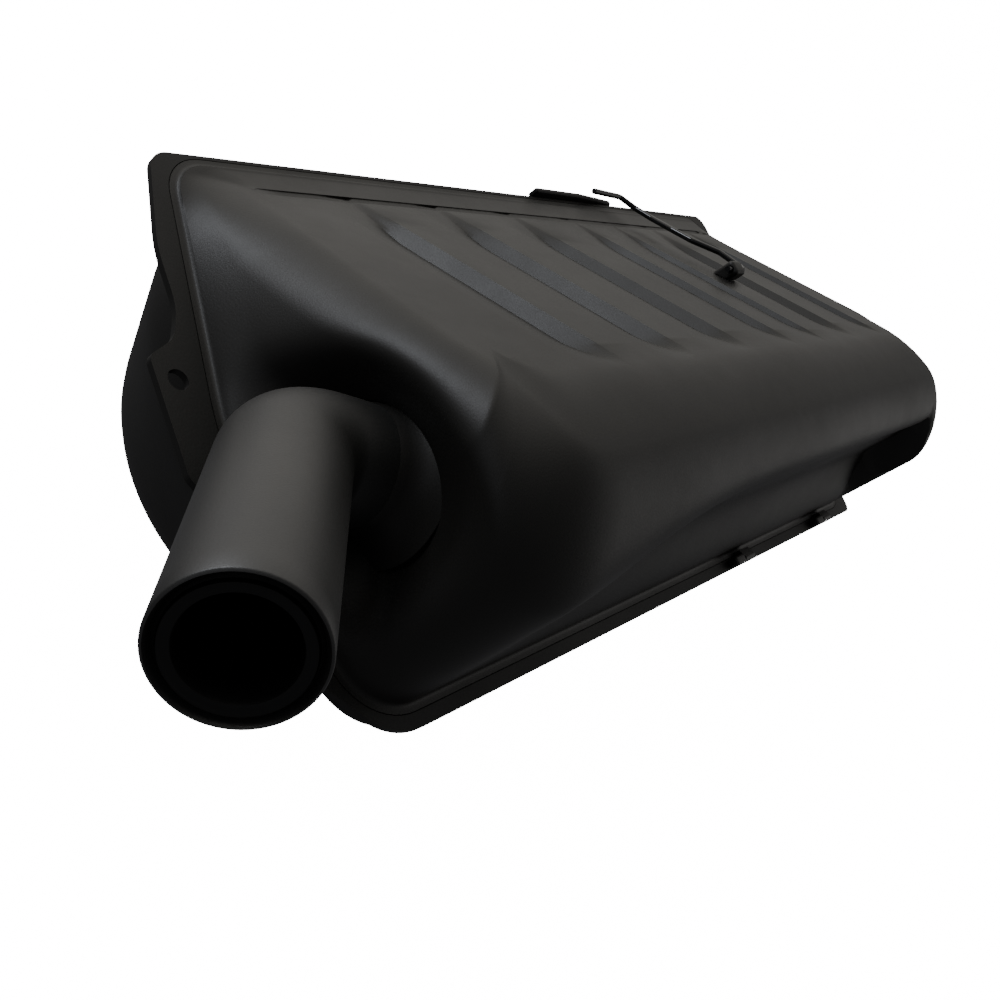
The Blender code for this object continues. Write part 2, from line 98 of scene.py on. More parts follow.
SCREW_CIRCLE, SCREW_Z, GASKET_Z = 43.5, -92.6, -100.3
FEET_X, FEET_Y, VALVE = 298, (62, 146), (225, 62)

FLANGE = [(-38, 204.4, 10), (-51.5, 168, 60), (-54, 146, 30), (-60, 136, 8), (-71, 131, 4),
          (-75, 92, 5), (-68, 76, 20), (-66, 30, 20), (-42, 0, 26), (375.5, 0, 5),
          (375.5, 204.4, 8)]
# where the rings of the cover have their points: dense at the crease by the front pillar
FRONT = [i / 60 for i in range(1, 57)] + [0.945, 0.952, 0.957, 0.961, 0.964, 0.967, 0.97, 0.973,
                                          0.976, 0.979, 0.982, 0.987, 0.993]
FILTER = [(-14, 195, 30), (-36, 95, 130), (-34, 13, 30), (361.5, 13, 14), (361.5, 195, 14)]
EDGES = (26, 26, FRONT, 20, 40)
CORNER_STEPS = 12
BASE = [(-31, 199.5, 16), (-58, 95, 130), (-50, 8.6, 22), (366, 8.6, 14), (366, 199.5, 14)]
KNEE = [(-17, 197.5, 14), (-38, 95, 110), (-37, 13, 40), (368, 12.5, 10), (366, 197.5, 12)]
CAP = [(-6, 190, 5), (-15, 100, 28), (-8, CREST_TOP, 15), (350, CREST_TOP, 12), (350, 190, 5)]


def slope(y):
    """Height of the pads' plane."""
    return SLOPE_Z + (SLOPE_Y - y) * SLOPE_RATE


def smoothstep(a, b, v):
    """0 below a, 1 above b, with a soft start and end."""
    t = min(max((v - a) / (b - a), 0), 1)
    return t * t * (3 - 2 * t)


# ---- materials ----
MIX_A, MIX_B, MIX_OUT = 6, 7, 2          # the Mix node's colour sockets
MOTTLE = 0.12                            # how far the plastic's colour drifts either way


def new_material(name):
    """A material with its node tree and its Principled shader."""
    mat = bpy.data.materials.new(name)
    mat.use_nodes = True
    return mat, mat.node_tree, mat.node_tree.nodes["Principled BSDF"]


def noise(nt, place, scale, detail):
    """A noise texture fixed to the piece."""
    tex = nt.nodes.new("ShaderNodeTexNoise")
    tex.inputs["Scale"].default_value = scale
    tex.inputs["Detail"].default_value = detail
    nt.links.new(place.outputs["Object"], tex.inputs["Vector"])
    return tex


def halved(nt, value):
    """Half of a node's output."""
    node = nt.nodes.new("ShaderNodeMath")
    node.operation = "MULTIPLY"
    node.inputs[1].default_value = 0.5
    nt.links.new(value, node.inputs[0])
    return node.outputs[0]


def tint_between(nt, factor, low, high, target):
    """Drive a colour input between two colours."""
    mix = nt.nodes.new("ShaderNodeMix")
    mix.data_type = "RGBA"
    mix.inputs[MIX_A].default_value = (*low, 1)
    mix.inputs[MIX_B].default_value = (*high, 1)
    nt.links.new(factor, mix.inputs["Factor"])
    nt.links.new(mix.outputs[MIX_OUT], target)


def range_between(nt, value, low, high, target, start=0.0, stop=1.0):
    """Drive an input from low to high while the value goes from start to stop."""
    span = nt.nodes.new("ShaderNodeMapRange")
    span.inputs["From Min"].default_value = start
    span.inputs["From Max"].default_value = stop
    span.inputs["To Min"].default_value = low
    span.inputs["To Max"].default_value = high
    nt.links.new(value, span.inputs["Value"])
    nt.links.new(span.outputs["Result"], target)


def moulded(name, colour, rough, grain=1.0, spec=0.5):
    """Moulded plastic: pore-fine grain, slow colour and gloss drift, faint rub marks."""
    mat, nt, shader = new_material(name)
    place = nt.nodes.new("ShaderNodeTexCoord")
    drift = noise(nt, place, 26, 4)
    pores = noise(nt, place, 1500, 3)
    rub = noise(nt, place, 9, 8)
    rub.inputs["Roughness"].default_value = 0.7
    blend = nt.nodes.new("ShaderNodeMath")
    blend.operation = "ADD"
    nt.links.new(halved(nt, pores.outputs["Fac"]), blend.inputs[0])
    nt.links.new(halved(nt, drift.outputs["Fac"]), blend.inputs[1])
    tint_between(nt, blend.outputs[0], [c * (1 - MOTTLE) for c in colour],
                 [c * (1 + MOTTLE) for c in colour], shader.inputs["Base Color"])
    range_between(nt, rub.outputs["Fac"], rough - 0.05, rough + 0.06,
                  shader.inputs["Roughness"], 0.3, 0.7)
    bump = nt.nodes.new("ShaderNodeBump")
    bump.inputs["Strength"].default_value = 0.35 * grain
    bump.inputs["Distance"].default_value = 0.00012
    nt.links.new(pores.outputs["Fac"], bump.inputs["Height"])
    nt.links.new(bump.outputs["Normal"], shader.inputs["Normal"])
    shader.inputs["Specular IOR Level"].default_value = spec
    return mat


def steel(name, colour, rough):
    """Plated steel with fine turning marks."""
    mat, nt, shader = new_material(name)
    shader.inputs["Metallic"].default_value = 1.0
    marks = noise(nt, nt.nodes.new("ShaderNodeTexCoord"), 700, 5)
    range_between(nt, marks.outputs["Fac"], rough - 0.08, rough + 0.12,
                  shader.inputs["Roughness"])
    tint_between(nt, marks.outputs["Fac"], [c * 0.85 for c in colour], colour,
                 shader.inputs["Base Color"])
    return mat


COVER_SKIN = moulded("cover_satin_black", (0.0085, 0.0078, 0.0066), 0.50, spec=0.42)
TUBE_SKIN = moulded("tube_satin_black", (0.0110, 0.0108, 0.0100), 0.46, spec=0.75)
# the mouth sleeve's black is darker than the tube's: painted shade, matching the shaded lip face at
# the mouth
LIP_SKIN = moulded("mouth_black_painted_shade", (0.004, 0.004, 0.004), 0.5, 0.6, spec=0.3)
CASE_SKIN = moulded("case_satin_black", (0.0080, 0.0075, 0.0066), 0.55, spec=0.32)
HINGE_SKIN = moulded("hinge_black", (0.022, 0.021, 0.019), 0.5)
RUBBER_SKIN = moulded("rubber_black", (0.016, 0.016, 0.016), 0.8, 1.2)
WIRE_SKIN = moulded("wire_gloss_black", (0.006, 0.006, 0.0065), 0.2, 0.3)
RIM_SKIN = moulded("filter_rim_rubber", (0.045, 0.045, 0.05), 0.8, 1.5)
PAPER_SKIN = moulded("filter_paper", (0.66, 0.60, 0.44), 0.9, 2.0)
GRID_SKIN = steel("grid_steel", (0.5, 0.5, 0.5), 0.4)
PIN_SKIN = steel("pin_steel", (0.45, 0.45, 0.45), 0.35)


# ---- shape helpers ----
def outline(corners, seg=5, edges=None):
    """Closed outline of corners (x, y, radius); edges[k] adds points between corners k and k+1."""
    pts = []
    n = len(corners)
    for k, (x, y, r) in enumerate(corners):
        p = Vector((x, y))
        a = (Vector(corners[k - 1][:2]) - p).normalized()
        b = (Vector(corners[(k + 1) % n][:2]) - p).normalized()
        half = a.angle(b) / 2
        reach = r / math.tan(half)
        centre = p + (a + b).normalized() * (r / math.sin(half))
        start, end = p + a * reach - centre, p + b * reach - centre
        turn = start.angle(end)
        for i in range(seg + 1):
            f = i / seg
            q = (start * math.sin((1 - f) * turn) + end * math.sin(f * turn)) / math.sin(turn)
            pts.append((centre.x + q.x, centre.y + q.y))
        extra = edges[k] if edges else ()
        if isinstance(extra, int):
            extra = [(i + 1) / (extra + 1) for i in range(extra)]
        if extra:
            q0 = Vector(pts[-1])
            nx, ny, nr = corners[(k + 1) % n]
            q = Vector((nx, ny))
            c = Vector(corners[(k + 2) % n][:2])
            u, v = (p - q).normalized(), (c - q).normalized()
            q1 = q + u * (nr / math.tan(u.angle(v) / 2))
            pts += [tuple(q0.lerp(q1, f)) for f in extra]
    return pts


def inset(pts, d):
    """Move a closed outline inwards by d (outwards when negative)."""
    p = np.array(pts)
    t = np.roll(p, -1, 0) - np.roll(p, 1, 0)
    t /= np.linalg.norm(t, axis=1)[:, None]
    area = np.sum(p[:, 0] * np.roll(p[:, 1], -1) - np.roll(p[:, 0], -1) * p[:, 1])
    n = np.stack([-t[:, 1], t[:, 0]], 1) * (1 if area > 0 else -1)
    return [tuple(v) for v in p + n * d]


def hoop(bm, ring):
    """A closed chain of edges through the points of one ring."""
    verts = [bm.verts.new(w(*p)) for p in ring]
    return [bm.edges.new((verts[i], verts[(i + 1) % len(verts)])) for i in range(len(verts))]


def skin(rings, cap_first=True, cap_last=True):
    """Bridge closed rings one after the other."""
    bm = bmesh.new()
    hoops = [hoop(bm, ring) for ring in rings]
    for lo, hi in zip(hoops, hoops[1:]):
        bmesh.ops.bridge_loops(bm, edges=lo + hi)
    if cap_first:
        bmesh.ops.contextual_create(bm, geom=hoops[0])
    if cap_last:
        bmesh.ops.contextual_create(bm, geom=hoops[-1])
    return bm


def looped(rings):
    """A closed band of quads through rings of equal length, the last joined to the first."""
    bm = bmesh.new()
    rows = [[bm.verts.new(w(*p)) for p in ring] for ring in rings]
    for lo, hi in zip(rows, rows[1:] + rows[:1]):
        for i in range(len(lo)):
            j = (i + 1) % len(lo)
            bm.faces.new((lo[i], lo[j], hi[j], hi[i]))
    bmesh.ops.recalc_face_normals(bm, faces=bm.faces)
    return bm


def prism(pts, z0, z1):
    """An outline as a solid between two heights."""
    bm = bmesh.new()
    face = bm.faces.new([bm.verts.new(w(x, y, z0)) for x, y in pts])
    out = bmesh.ops.extrude_face_region(bm, geom=[face])
    top = [v for v in out["geom"] if isinstance(v, bmesh.types.BMVert)]
    bmesh.ops.translate(bm, verts=top, vec=(0, 0, (z1 - z0) / 1000))
    return bm


def pushed(section, vec):
    """A flat section of flange-frame points pushed along a vector in millimetres."""
    bm = bmesh.new()
    face = bm.faces.new([bm.verts.new(w(*p)) for p in section])
    out = bmesh.ops.extrude_face_region(bm, geom=[face])
    bmesh.ops.translate(bm, verts=[v for v in out["geom"] if isinstance(v, bmesh.types.BMVert)],
                        vec=Vector(vec) / 1000)
    return bm


def turned(profile, centre, axis, steps=96):
    """Spin a (radius, height) profile round an axis; closed unless it starts on the axis."""
    bm = bmesh.new()
    pts = [bm.verts.new((r / 1000, 0, h / 1000)) for r, h in profile]
    last = len(pts) - 1 if profile[0][0] == 0 else len(pts)
    ring = [bm.edges.new((pts[i], pts[(i + 1) % len(pts)])) for i in range(last)]
    bmesh.ops.spin(bm, geom=pts + ring, cent=(0, 0, 0), axis=(0, 0, 1), angle=2 * math.pi,
                   steps=steps, use_merge=True, use_duplicate=False)
    bmesh.ops.remove_doubles(bm, verts=bm.verts, dist=1e-6)
    turn = Vector((0, 0, 1)).rotation_difference(Vector(axis).normalized()).to_matrix().to_4x4()
    bmesh.ops.transform(bm, verts=bm.verts, matrix=Matrix.Translation(w(*centre)) @ turn)
    return bm


def rod(radius, lo, hi):
    """Profile of a plain round bar from lo to hi."""
    return [(0, lo), (radius, lo), (radius, hi), (0, hi)]


def block(x0, x1, y0, y1, z0, z1, bevel=0.0, segments=3):
    """A box between two corners, with rounded edges if asked."""
    bm = bmesh.new()
    bmesh.ops.create_cube(bm, size=1)
    lo, hi = w(x0, y0, z0), w(x1, y1, z1)
    size, mid = hi - lo, (hi + lo) / 2
    bmesh.ops.transform(bm, verts=bm.verts,
                        matrix=Matrix.Translation(mid) @ Matrix.Diagonal((*size, 1)))
    if bevel:
        bmesh.ops.bevel(bm, geom=bm.edges, offset=bevel / 1000, segments=segments, profile=0.5,
                        affect="EDGES", material=-1)
    return bm


def bend_path(points, radius, seg=8, straight=1):
    """Centre line through points with rounded bends: list of (position, direction)."""
    pts = [Vector(p) for p in points]
    out = [(pts[0], (pts[1] - pts[0]).normalized())]
    for a, b, c in zip(pts, pts[1:], pts[2:]):
        u, v = (b - a).normalized(), (c - b).normalized()
        turn = u.angle(v)
        reach = radius * math.tan(turn / 2)
        side = (v - u * u.dot(v)).normalized()
        start = b - u * reach
        out += [(out[-1][0].lerp(start, (i + 1) / straight), u) for i in range(straight - 1)]
        centre = start + side * radius
        for i in range(seg + 1):
            f = turn * i / seg
            out.append((centre + radius * (u * math.sin(f) - side * math.cos(f)),
                        u * math.cos(f) + side * math.sin(f)))
    out.append((pts[-1], (pts[-1] - pts[-2]).normalized()))
    return out


def round_rings(path, radius, sides):
    """Rings of a round section carried along a path; radius may be a function of the index."""
    rings = []
    side = None
    for k, (pos, tan) in enumerate(path):
        if side is None:
            side = tan.orthogonal().normalized()
        side = (side - tan * side.dot(tan)).normalized()
        up = tan.cross(side)
        r = radius(k) if callable(radius) else radius
        rings.append([tuple(pos + r * (side * math.cos(2 * math.pi * i / sides)
                                       + up * math.sin(2 * math.pi * i / sides)))
                      for i in range(sides)])
    return rings


def piece(name, bm, body, nodes, slot, *mats, sharp=35, bevel=0.0):
    """A finished piece at the origin, riding on its body and standing for its CAD nodes."""
    bmesh.ops.recalc_face_normals(bm, faces=bm.faces)
    me = bpy.data.meshes.new(name)
    bm.to_mesh(me)
    bm.free()
    ob = bpy.data.objects.new(name, me)
    bpy.context.scene.collection.objects.link(ob)
    for mat in mats:
        me.materials.append(mat)
    me.shade_smooth()
    me.set_sharp_from_angle(angle=math.radians(sharp))
    if bevel:
        edge = ob.modifiers.new("edges", "BEVEL")
        edge.width = bevel / 1000
        edge.segments = 3
        edge.limit_method = "ANGLE"
        edge.angle_limit = math.radians(40)
        edge.use_clamp_overlap = True
    if body:
        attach(ob, body)
        if nodes:
            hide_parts(*nodes)
    return ob


def tool(name, bm):
    """A throwaway solid that another piece is cut or joined with."""
    return piece(name, bm, None, (), None)


def carve(ob, steps, sharp=35):
    """Apply Boolean steps of (operation, tool) and drop the tools."""
    for kind, cutter in steps:
        mod = ob.modifiers.new(cutter.name, "BOOLEAN")
        mod.operation = kind
        mod.object = cutter
        mod.solver = "EXACT"
    dg = bpy.context.evaluated_depsgraph_get()
    me = bpy.data.meshes.new_from_object(ob.evaluated_get(dg))
    ob.modifiers.clear()
    ob.data = me
    for _, cutter in steps:
        bpy.data.objects.remove(cutter, do_unlink=True)
    me.shade_smooth()
    me.set_sharp_from_angle(angle=math.radians(sharp))
    return ob


def base_outline(grow=0.0):
    """The cover's foot on the flange, grown outwards."""
    return inset(outline(BASE, CORNER_STEPS, EDGES), -grow)


def chamber_outline(grow=0.0):
    """The filter's own outline, grown outwards."""
    return inset(outline(FILTER, CORNER_STEPS, EDGES), -grow)


# ---- the cover ----
def shaped(p):
    """Scoop along the front wall, its steep right end, and the hollow around the inlet stub."""
    x, y, z = p
    if y < SCOOP_BACK:
        along = smoothstep(-40, 130, x) * (1 - smoothstep(*CREASE_X, x))
        up = smoothstep(3, 38, z) * (1 - smoothstep(54, 82, z))
        y += SCOOP_DEPTH * along * up * (1 - smoothstep(35, SCOOP_BACK, y))
    if x < 0:
        # the basin: a shallow bowl centred on the stub, blended softly into the end wall
        bowl = BOWL_FLOOR - BOWL_CURVE * ((y - BOWL_Y) ** 2 + (z - BOWL_Z) ** 2)
        lift = 0.5 * (bowl - x + math.hypot(bowl - x, BOWL_BLEND))
        x += lift * smoothstep(0.8, 16, z) * (1 - smoothstep(-12, 0, x))
    return x, y, z


def cover_rings():
    """Rings from the lip up the walls, over the rounded crest and onto the pads."""
    base = base_outline()
    edge = outline(KNEE, CORNER_STEPS, EDGES)
    cap = outline(CAP, CORNER_STEPS, EDGES)
    rings = [[(x, y, 0.0) for x, y in base_outline(3.2)],
             [(x, y, 0.0) for x, y in base_outline(1.7)],
             [(x, y, 0.15) for x, y in base_outline(0.9)],
             [(x, y, 0.6) for x, y in base_outline(0.35)]]
    walls = [0, 0.03] + [i / 18 for i in range(1, 18)]
    turns = [i / 14 for i in range(15)]
    tops = [i / 9 for i in range(1, 10)]
    levels = [[] for _ in range(len(walls) + len(turns) + len(tops))]
    for b, e, c in zip(base, edge, cap):
        ez = min(max(slope(e[1]), 1.6), CREST_Z)
        foot, knee, top = Vector((*b, 1.4)), Vector((*e, ez)), Vector((*c, slope(c[1])))
        wall = (foot - knee).length
        front = 1 - smoothstep(14, 62, e[1])
        take = min(wall * 0.6, 20 + 14 * front)
        ridge = Vector((c[0], CREST_Y - 2, slope(CREST_Y - 2))).lerp(top, 1 - front)
        reach = (0.75 - 0.1 * front) * (ridge - knee).length
        start = knee.lerp(foot, take / wall)
        end = knee.lerp(ridge, reach / (ridge - knee).length)
        weight = 0.62 - 0.15 * front
        column = [foot.lerp(start, f) for f in walls]
        for f in turns:
            k = (1 - f) ** 2, 2 * weight * f * (1 - f), f * f
            column.append((start * k[0] + knee * k[1] + end * k[2]) / sum(k))
        bend = end.lerp(top, 0.5).lerp(ridge, front)
        column += [end * (1 - f) ** 2 + bend * 2 * f * (1 - f) + top * f * f for f in tops]
        for level, p in zip(levels, column):
            level.append(shaped(p))
    return rings + levels


def groove_depth(x, y):
    """How far the slope lies below pad level at a point: one sawtooth per groove."""
    band = max(0.0, slope(y) - 1.6 - (199 - y) * 0.25) * smoothstep(BAND_Y - 1.6, BAND_Y, y)
    if x < 22:
        band *= smoothstep(-12, 10, x)
    run = smoothstep(CREST_TOP - 1, 98, y) ** 0.7 * (1 - 0.78 * smoothstep(158, 188, y))
    cut = 0.0
    for gx, steep, depth in GROOVES:
        foot = gx - steep
        if foot - RAMP < x <= foot:
            cut = depth * (x - foot + RAMP) / RAMP
        elif foot < x < gx:
            cut = depth * (gx - x) / steep
    return max(band, run * cut)


def height_off(co):
    """Height of a point above the pads' plane."""
    x, y, z = back(co)
    return z - slope(y)


def make_cover():
    """The shell: its pads are cut along every groove line, then the grooves are sunk."""
    bm = skin(cover_rings(), cap_first=False)
    bm.faces.ensure_lookup_table()
    lines = [("y", BAND_Y - v) for v in (-1.2, -0.6, 0, 0.4, 0.8, 1.2, 1.6)]
    lines += [("y", CREST_TOP + v) for v in range(2, 24, 2)]
    lines += [("y", v) for v in range(108, 186, 6)]
    lines += [("x", v) for v in range(-10, 22, 4)]
    for gx, steep, _ in GROOVES:
        foot = gx - steep
        lines += [("x", foot - RAMP + v) for v in (0, 4, 8, 12, 16)]
        lines += [("x", foot + v) for v in (0, steep / 3, steep * 2 / 3, steep)]
    flat = [f for f in bm.faces if all(abs(height_off(v.co)) < 0.02 for v in f.verts)]
    for axis, v in lines:
        normal = (1, 0, 0) if axis == "x" else (0, 1, 0)
        geom = list({g for f in flat for g in (*f.verts, *f.edges, f)})
        out = bmesh.ops.bisect_plane(bm, geom=geom, dist=1e-7, plane_co=w(v, v, 0),
                                     plane_no=normal)
        flat = [g for g in out["geom"] if isinstance(g, bmesh.types.BMFace)]
    for v in bm.verts:
        x, y, z = back(v.co)
        if abs(z - slope(y)) < 0.02 and y > CREST_TOP - 1:
            v.co.z -= groove_depth(x, y) / 1000
    ob = piece("cover_shell_skin", bm, None, (), None, COVER_SKIN)
    solid = ob.modifiers.new("thickness", "SOLIDIFY")
    solid.thickness = WALL / 1000
    solid.offset = -1
    hole = tool("stub_hole", turned(rod(STUB_HOLE_R, -22, 22), Vector(STUB) + STUB_AXIS * 2,
                                    STUB_AXIS, 96))
    carve(ob, [("DIFFERENCE", hole)], 36)
    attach(ob, "cover")
    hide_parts("cover_shell")


# ---- the rear case ----
def drum_outline(d, n=60, corner=12):
    """The bowl's outline, drawn in by d: round at the left, square at the right."""
    r = DRUM_R - d
    y0, y1 = DRUM_Y - DRUM_R + d, DRUM_BACK - d
    a = math.asin((y1 - DRUM_Y) / r)
    arc = [(DRUM_X - r * math.cos(t), DRUM_Y + r * math.sin(t))
           for t in np.linspace(a, -math.asin((DRUM_Y - y0) / r), n)]
    right, rr = DRUM_RIGHT - d, DRUM_CORNER
    c1 = [(right - rr + rr * math.sin(t), y0 + rr - rr * math.cos(t))
          for t in np.linspace(0, math.pi / 2, corner)]
    c2 = [(right - rr + rr * math.cos(t), y1 - rr + rr * math.sin(t))
          for t in np.linspace(0, math.pi / 2, corner)]
    return arc + c1 + c2


def make_case():
    """The flange joined with the seat and the bowl, then hollowed; rows are (height, inset)."""
    ob = piece("rear_case_skin", prism(outline(FLANGE, 10), -FLANGE_T, 0), None, (), None,
               CASE_SKIN)
    levels = [(-1.5, 3), (-5, 1), (-9, 0), (-18, 0), (-23, 0.7), (-28, 2), (-40, 6), (-52, 10),
              (-64, 14), (-70, 16), (-76, 18.4), (-80, 20.8), (-84, 24), (-86.5, 27.5), (-88, 32)]
    rim = tool("rim", prism(base_outline(4.8), SHELF_Z - 2.5, -1.2))
    wall = tool("wall", prism(chamber_outline(3.2), -34, SHELF_Z - 1))
    bowl = tool("bowl", skin([[(x, y, z) for x, y in drum_outline(d)] for z, d in levels]))
    recess = tool("recess", prism(base_outline(3.2 + GAP), SHELF_Z, 2))
    chamber = tool("chamber", prism(chamber_outline(0.6), -31.6, 3))
    inner = [(-22, 4), (-28, 5), (-40, 9), (-64, 17), (-70, 19), (-76, 21.5), (-82, 26.5),
             (-85, 32)]
    low = tool("hollow", skin([[(x, y, z) for x, y in drum_outline(d)] for z, d in inner]))
    out = tool("outlet", turned(rod(OUTLET_R, -8, 8),
                                (OUTLET_X, OUTLET_Y, -CASE_DEPTH + 2), (0, 0, 1), 96))
    tab = tool("tab_hole", turned(rod(TAB_HOLE_R, -6, 6), (*TAB_HOLE, -1), (0, 0, 1), 48))
    carve(ob, [("UNION", rim), ("UNION", wall), ("UNION", bowl), ("DIFFERENCE", recess),
               ("DIFFERENCE", chamber), ("DIFFERENCE", low), ("DIFFERENCE", out),
               ("DIFFERENCE", tab)], 30)
    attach(ob, "case")
    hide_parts("rear_case")


# ---- the inlet tube ----
def make_tube():
    """The bent tube, the sleeve in its mouth and the seal at the cover."""
    path = bend_path([MOUTH, ELBOW, Vector(STUB) + STUB_AXIS * 9], BEND_R, 24, 10)
    start, along = path[0]
    lead = [(start + along * d, along) for d in (0, 0.25, 0.7)]
    outer = round_rings(lead + path[1:], lambda k: (18.2, 18.75, 19.0)[k] if k < 3 else TUBE_R, 96)
    tube = piece("intake_elbow_skin", skin(outer, False, False), None, (), None, TUBE_SKIN)
    solid = tube.modifiers.new("thickness", "SOLIDIFY")
    solid.thickness = TUBE_WALL / 1000
    solid.offset = -1
    carve(tube, [], 40)            # no tools: only makes the wall thickness final
    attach(tube, "cover")
    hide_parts("intake_elbow")
    out_r = TUBE_R - TUBE_WALL - GAP
    ring = [(out_r, 0.4), (14.2, 0.4), (13.1, 0.9), (12.7, 2.0), (12.7, 15), (out_r, 15)]
    piece("mouth_sleeve_skin", turned(ring, start, along), "cover", ["mouth_sleeve"],
          "mouth_insert", LIP_SKIN, sharp=40)
    flare = [(TUBE_R + 0.05, -10), (19.4, -9), (19.9, -7), (20.8, -4.8), (22.2, -2.8), (24.2, -1.2),
             (26.8, 0.2), (30.0, 1.4), (30.0, 3.4), (TUBE_R + GAP, 6)]
    seal = turned(flare, Vector(STUB) - STUB_AXIS, STUB_AXIS)
    piece("elbow_seal_skin", seal, "cover", ["elbow_seal"], "seal", COVER_SKIN, sharp=50)


# ---- the filter ----
def make_filter():
    """The soft rim, the pleated paper in it and the grid below."""
    body, lip, inside = chamber_outline(), base_outline(RIM_LIP), chamber_outline(-RIM_WIDTH)
    rings = [[(x, y, z) for x, y in line]
             for line, z in ((lip, RIM_TOP), (lip, RIM_SHELF), (body, RIM_SHELF),
                             (body, RIM_FOOT), (inside, RIM_FOOT), (inside, RIM_TOP))]
    piece("filter_rim_skin", looped(rings), "case", ["filter_rim"], "filter_rim", RIM_SKIN)
    xs = np.linspace(*PLEAT_X, PLEATS + 1)
    upper = [(x, (PLEAT_TOP if i % 2 else PLEAT_LOW + PAPER)) for i, x in enumerate(xs)]
    lower = [(x, (PLEAT_TOP - PAPER if i % 2 else PLEAT_LOW)) for i, x in enumerate(xs)]
    y0, y1 = PLEAT_Y
    bm = pushed([(x, y0, z) for x, z in upper + lower[::-1]], (0, y1 - y0, 0))
    piece("filter_pleats_skin", bm, "case", ["filter_pleats"], "filter_paper", PAPER_SKIN, sharp=20)
    grid = piece("filter_grid_skin", block(*GRID_X, *GRID_Y, *GRID_Z, GRID_EDGE), None, (), None,
                 GRID_SKIN)
    cuts = []
    for i in range(GRID_HOLES[0]):
        for j in range(GRID_HOLES[1]):
            cx, cy = HOLE_AT[0] + i * HOLE_STEP[0], HOLE_AT[1] + j * HOLE_STEP[1]
            hole = block(cx - HOLE_HALF[0], cx + HOLE_HALF[0], cy - HOLE_HALF[1],
                         cy + HOLE_HALF[1], -34, -27)
            cuts.append(("DIFFERENCE", tool(f"hole_{i}_{j}", hole)))
    carve(grid, cuts)
    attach(grid, "case")
    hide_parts("filter_grid")


def make_outlet():
    """What hangs below the bowl: collar, gasket, screws, feet and drain valve."""
    z = -CASE_DEPTH - GAP
    collar = [(OUTLET_R, 0), (48, 0), (48, -3.2), (47.2, -4), (39.5, -4), (38, -5.5), (38, -11.2),
              (37.5, -11.7), (OUTLET_R + 0.5, -11.7), (OUTLET_R, -11.2)]
    piece("outlet_collar_skin", turned(collar, (OUTLET_X, OUTLET_Y, z), (0, 0, 1)), "case",
          ["outlet_collar"], "case", CASE_SKIN)
    gasket = [(OUTLET_R, 0), (39.5, 0), (40, -0.5), (40, -2.2), (39.5, -2.7), (OUTLET_R, -2.7)]
    piece("outlet_gasket_skin", turned(gasket, (OUTLET_X, OUTLET_Y, GASKET_Z), (0, 0, 1)), "case",
          ["outlet_gasket"], "seal", RUBBER_SKIN)
    for i in range(4):
        a = math.radians(45 + 90 * i)
        at = (OUTLET_X + SCREW_CIRCLE * math.cos(a), OUTLET_Y + SCREW_CIRCLE * math.sin(a),
              SCREW_Z)
        head = [(0, 0), (3.9, 0), (3.9, -1.2), (3.5, -2.0), (2.8, -2.6), (1.6, -2.8), (1.6, -1.2),
                (0, -1.2)]
        piece(f"collar_screw_{i + 1}_skin", turned(head, at, (0, 0, 1), 32), "case",
              [f"collar_screw_{i + 1}"], "screw", PIN_SKIN)
    for i, y in enumerate(FEET_Y):
        foot = [(0, 0), (9, 0), (9, -12.7), (8.7, -13.7), (8, -14.7), (0, -14.7)]
        piece(f"rubber_foot_{i + 1}_skin", turned(foot, (FEET_X, y, z), (0, 0, 1), 48), "case",
              [f"rubber_foot_{i + 1}"], "foot", RUBBER_SKIN)
    valve = [(0, 0), (8, 0), (8, -2.6), (7.4, -3.4), (5, -5), (4, -7), (3.5, -9.5), (3, -10),
             (0, -10)]
    piece("drain_valve_skin", turned(valve, (*VALVE, z), (0, 0, 1), 48), "case", ["drain_valve"],
          "seal", RUBBER_SKIN)


# ---- hinges and latch ----
def eye_hole(name, x0, x1, y, z, r):
    """A round cutter along the length, from x0 to x1."""
    return tool(name, turned(rod(r, x0, x1), (0, y, z), (1, 0, 0), 32))


def make_hinges():
    """At each place: a base on the flange, a leaf on the cover and a pin through both."""
    for i, x in enumerate(HINGE_X):
        foot = piece(f"hinge_base_{i + 1}_skin", block(x - 15, x - 5.3, 0.2, 4.9, GAP, 5.4, 1.2, 5),
                     None, (), None, HINGE_SKIN)
        carve(foot, [("DIFFERENCE", eye_hole("eye", x - 18, x - 2, HINGE_Y, HINGE_Z, PIN_R + GAP))])
        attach(foot, "case")
        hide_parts(f"hinge_base_{i + 1}")
        pts = [(HINGE_Y + 2.5 * math.cos(a), HINGE_Z + 2.5 * math.sin(a))
               for a in np.linspace(math.radians(-104), math.radians(-270), 24)]
        pts += [(6.7, HINGE_Z + 0.4), (6.7, GAP), (HINGE_Y, GAP)]
        bm = pushed([(x - 5, y, z) for y, z in pts], (10, 0, 0))
        leaf = piece(f"hinge_leaf_{i + 1}_skin", bm, None, (), None, HINGE_SKIN)
        carve(leaf, [("DIFFERENCE", eye_hole("eye", x - 7, x + 7, HINGE_Y, HINGE_Z, PIN_R + GAP))])
        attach(leaf, "cover")
        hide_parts(f"hinge_leaf_{i + 1}")
        pin = [(0, x - 16), (1.0, x - 16), (PIN_R, x - 15.8), (PIN_R, x + 5.8), (1.0, x + 6),
               (0, x + 6)]
        piece(f"hinge_pin_{i + 1}_skin", turned(pin, (0, HINGE_Y, HINGE_Z), (1, 0, 0), 32), "case",
              [f"hinge_pin_{i + 1}"], "steel_pin", WIRE_SKIN)


